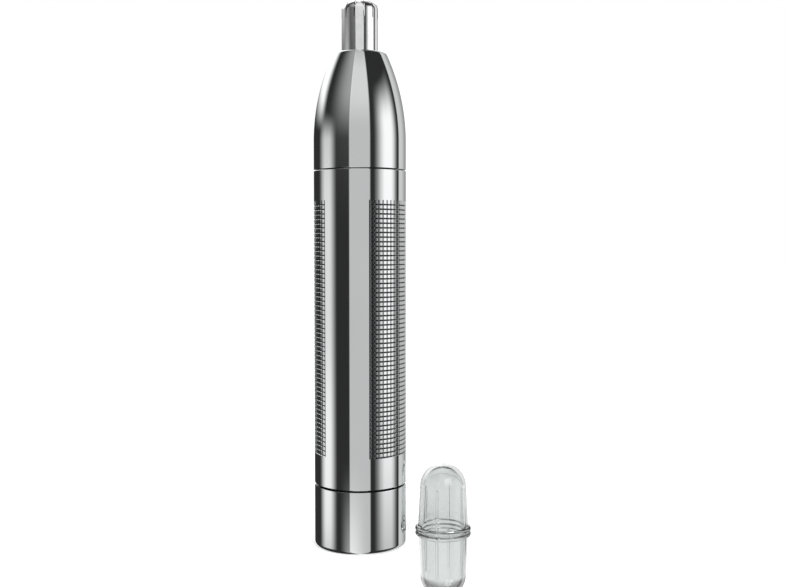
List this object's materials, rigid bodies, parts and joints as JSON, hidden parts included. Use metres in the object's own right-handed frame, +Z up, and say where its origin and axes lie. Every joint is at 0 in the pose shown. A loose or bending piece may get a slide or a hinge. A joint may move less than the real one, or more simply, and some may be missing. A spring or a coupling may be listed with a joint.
{
  "type": "nose hair trimmer",
  "caption": "Slim upright battery trimmer with a slotted round cutter, push-in head, twist switch base and a separate clear cap.",
  "frame": {"origin": "centre of the base's underside, on the trimmer's axis", "axes": "+Z up the trimmer's axis to the cutter, +X to the side where the cap stands, -Y to the front"},
  "size_m": [0.0384, 0.0283, 0.1288],
  "materials": {
    "polished_metal": "polished, bright",
    "cutter_steel": "bright plated",
    "core_plastic": "moulded, fine texture",
    "switch_plastic": "moulded, satin",
    "white_plastic": "moulded, natural acetal",
    "plated_steel": "nickel plated",
    "magnet": "ground ferrite",
    "core_steel": "stamped laminations",
    "copper": "enamelled copper",
    "sintered_bronze": "sintered",
    "contact_brass": "stamped, bright",
    "seal_rubber": "smooth",
    "battery_jacket": "plain printed film",
    "battery_insulator": "matt",
    "clear_plastic": "clear, polished"
  },
  "bodies": {
    "main": {"body_tube": "polished_metal", "chassis_front": "core_plastic", "chassis_back": "core_plastic", "base_collar": "core_plastic", "positive_strip": "contact_brass", "negative_strip": "contact_brass", "motor_can": "plated_steel", "motor_magnets": "magnet", "motor_bearings": "sintered_bronze", "motor_end_cap": "white_plastic", "motor_terminals": "contact_brass", "motor_screws": "plated_steel"},
    "rotor": {"motor_shaft": "plated_steel", "armature_core": "core_steel", "armature_windings": "copper", "commutator": "copper", "drive_coupling": "white_plastic"},
    "head": {"head_shell": "polished_metal", "head_insert": "core_plastic", "head_o_ring": "seal_rubber", "cutter_holder": "core_plastic", "outer_cutter": "cutter_steel", "spindle_bush": "sintered_bronze"},
    "cutter_drive": {"cutter_spindle": "white_plastic", "inner_cutter": "cutter_steel", "spindle_spring": "plated_steel", "spindle_washer": "plated_steel", "spindle_clip": "plated_steel"},
    "switch": {"switch_ring": "switch_plastic", "switch_wiper": "contact_brass"},
    "base": {"base_shell": "polished_metal", "base_insert": "core_plastic", "base_contact": "contact_brass", "battery_spring": "plated_steel", "base_o_ring": "seal_rubber"},
    "battery": {"battery_can": "plated_steel", "battery_sleeve": "battery_jacket", "battery_washer": "battery_insulator"},
    "cap": {"protective_cap": "clear_plastic"}
  },
  "joints": [
    {"name": "rotor_spin", "type": "hinge", "parent": "main", "child": "rotor", "pos_m": [0, 0, 0.075], "axis": [0, 0, 1], "continuous": true},
    {"name": "head_pull", "type": "slide", "parent": "main", "child": "head", "axis": [0, 0, 1], "range_m": [0, 0.03]},
    {"name": "cutter_spin", "type": "hinge", "parent": "head", "child": "cutter_drive", "pos_m": [0, 0, 0.1], "axis": [0, 0, 1], "continuous": true},
    {"name": "base_twist", "type": "hinge", "parent": "main", "child": "switch", "pos_m": [0, 0, 0.02], "axis": [0, 0, 1], "range_deg": [0, 45]},
    {"name": "base_pull", "type": "slide", "parent": "switch", "child": "base", "axis": [0, 0, -1], "range_m": [0, 0.07]},
    {"name": "battery_slide", "type": "slide", "parent": "main", "child": "battery", "axis": [0, 0, -1], "range_m": [0, 0.07]},
    {"name": "cap_lift", "type": "slide", "parent": "main", "child": "cap", "axis": [0, 0, 1], "range_m": [0, 0.14]}
  ],
  "couplings": [
    {"joint": "cutter_spin", "follows": "rotor_spin", "ratio": 1},
    {"joint": "battery_slide", "follows": "base_pull", "ratio": 1}
  ]
}
